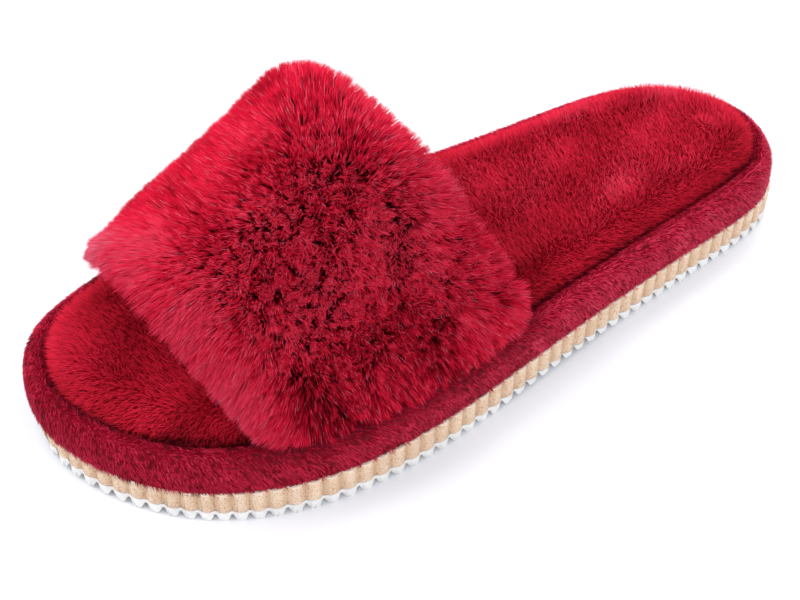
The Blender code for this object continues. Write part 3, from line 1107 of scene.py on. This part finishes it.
lay = np.zeros_like(roots) + FUR_LAY
lay[:, 1] += EDGE_ROLL * edge * np.sign(normals[:, 1])
lay[:, 2] += SAG + FOOT_LIFT * foot + EDGE_SAG * edge
lay += FAR_LAY * (1 - nears) * (1 - edges)
tilt *= (1 - EDGE_CALM * edges) * (1 - FOOT_CALM * (1 - feet))
front_edge = edge * (normals[:, 1] < 0)
raised = RAISED_SHARE * nears * (foot * (1 - front_edge))[:, None]
aim = normals * (1 - raised) + RAISED_AIM * raised
aim = unit(aim + lay + drift(roots, FUR_PATCH, rng) * FUR_SWAY + tilt)
print("fur raised on", int((raised > 0).sum()), "strands")

# %% Fur length, width and pull
FUR_LENGTH = 0.0090
EDGE_RANK, EDGE_EVEN = 0.6, 0.3
LEAST_LENGTH, RANK_LENGTH = 0.66, 0.42
FOOT_SHORT, ROLL_SHORT, CORNER_SHORT = 0.20, 0.10, 0.38
CORNER_FROM, CORNER_TO = -0.012, -0.042  # places across
LOCK_PULL, LOCK_PULL_UP, LOCK_EDGE = 0.12, 0.13, 0.9
WISP_PULL, WISP_PULL_UP, WISP_EDGE = 0.12, 0.18, 0.6
FUR_WIDTHS = (0.00040, 0.00064)
EDGE_FINER = 0.25

rank += (EDGE_RANK - rank) * EDGE_EVEN * edge
length = FUR_LENGTH * (LEAST_LENGTH + RANK_LENGTH * np.sqrt(rank))
length *= 1 - FOOT_SHORT * (1 - foot)
length *= 1 - ROLL_SHORT * np.abs(normals[:, 1])
length *= 1 - CORNER_SHORT * edge * rising(roots[:, 0], CORNER_FROM, CORNER_TO)
pull = (LOCK_PULL + LOCK_PULL_UP * feet) * (1 - LOCK_EDGE * edges)
wisp_pull = (WISP_PULL + WISP_PULL_UP * feet) * (1 - WISP_EDGE * edges)
width = rng.uniform(*FUR_WIDTHS, count) * (1 - EDGE_FINER * edge)
shortest, longest = float(length.min()) * 1000, float(length.max()) * 1000
print("fur", round(shortest, 1), "to", round(longest, 1), "mm")

# %% [markdown]
# The fur turns from near-black red at its roots to crimson and paler tips; the
# dark roots are painted shade down in the pile. The longest strands of a lock
# are also its palest, so the shorter ones carry some painted shade. The far side
# is more even than the near one and, but for its front edge with a painted
# highlight, a little deeper with painted shade; the near side gets painted
# light, the lower sides and the foot painted shade, the edges a painted
# highlight, and a few single strands are painted pale as glints.

# %% Fur colour and growth
FUR_PIECES = ["fur_inner", "fur_crown", "fur_outer"]
RANK_TINT, FUR_TONE = 1.3, -0.06
FAR_RANK, FAR_EVEN, FAR_CALM = 0.50, 0.50, 0.5
FUR_TONE_PATCH, FUR_TONE_SWAY, FUR_TONE_STRAY = 0.020, 0.07, 0.12
# painted light on the near side; painted shade on the far side, more towards the
# front, but not on its highlit edge
NEAR_PAINTED_LIGHT, FAR_SHADE, FRONT_SHADE = 0.06, 0.22, 0.14
# painted shade: the lower sides of the fur are darker
SIDE_FROM, SIDE_TO, SIDE_SHADE = 0.056, 0.036, 0.30  # heights
# painted highlight on the edges, more on the far side's edges; painted shade at
# the fur's foot
EDGE_HIGHLIGHT, FAR_EDGE_HIGHLIGHT, FOOT_SHADE = 0.04, 0.24, 0.14
PALEST, PALEST_EDGE = 0.80, 0.16
# painted highlight: a few single strands are painted pale as glints
GLINT_SHARE, GLINT_TINT, GLINT_WIDTH, GLINT_LENGTH = 0.02, 0.985, 0.6, 1.10
# edge strands start higher on the root ramp, so their roots get less painted shade
FUR_SOFT, EDGE_LESS_ROOT_SHADE = 0.36, 0.25
FUR_TINTS = [
    (0.0, (0.08, 0.001, 0.003)), (0.30, (0.54, 0.005, 0.022)),
    (0.60, (0.96, 0.011, 0.056)), (0.90, (0.93, 0.070, 0.135)),
    (1.0, (0.96, 0.30, 0.40)),
]
# painted shade down in the pile: a grey ramp from root to tip
FUR_ROOT_SHADE = [(0, 0.06), (0.42, 0.25), (0.78, 0.90), (1, 1.0)]

# the shorter strands of a lock are darker, partly painted shade down in the pile
tint = RANK_TINT * (rank + (FAR_RANK - rank) * FAR_EVEN * far) + FUR_TONE
tint += FUR_TONE_SWAY * drift(roots, FUR_TONE_PATCH, rng)[:, 0]
tint += FUR_TONE_STRAY * rng.normal(size=count) * (1 - FAR_CALM * far)
tint += NEAR_PAINTED_LIGHT * near - (FAR_SHADE + FRONT_SHADE * front) * (far - highlit_far_edge)
tint -= SIDE_SHADE * rising(roots[:, 2], SIDE_FROM, SIDE_TO) * (1 - edge)
tint += EDGE_HIGHLIGHT * edge + FAR_EDGE_HIGHLIGHT * highlit_far_edge - FOOT_SHADE * (1 - foot)
tint = np.clip(tint, LEAST_TINT, PALEST + PALEST_EDGE * highlit_far_edge)
# painted glints: a pale tint on a few single strands
glint = rng.random(count) < GLINT_SHARE
tint[glint] = GLINT_TINT
width[glint] *= GLINT_WIDTH
length[glint] *= GLINT_LENGTH
in_lock = gathered(roots, aim * length[:, None], lock, pull)
fur_strands = {
    "roots": roots,
    "along": gathered(roots, in_lock, wisp, wisp_pull),
    "turned": rng.normal(size=roots.shape),
    "normals": normals,
    "soften": np.full(count, FUR_SOFT),
    "width": width,
    "tint": tint,
    "start": EDGE_LESS_ROOT_SHADE * edge,
}
fur = pile_finish(
    "strap_fur", FUR_TINTS, FUR_ROOT_SHADE,
    roughness=0.45, gloss=0.02, sheen=0.02, sheen_tint=(1.0, 0.20, 0.32),
)
grow_pile(FUR_PIECES, fur, 0, fur_strands)
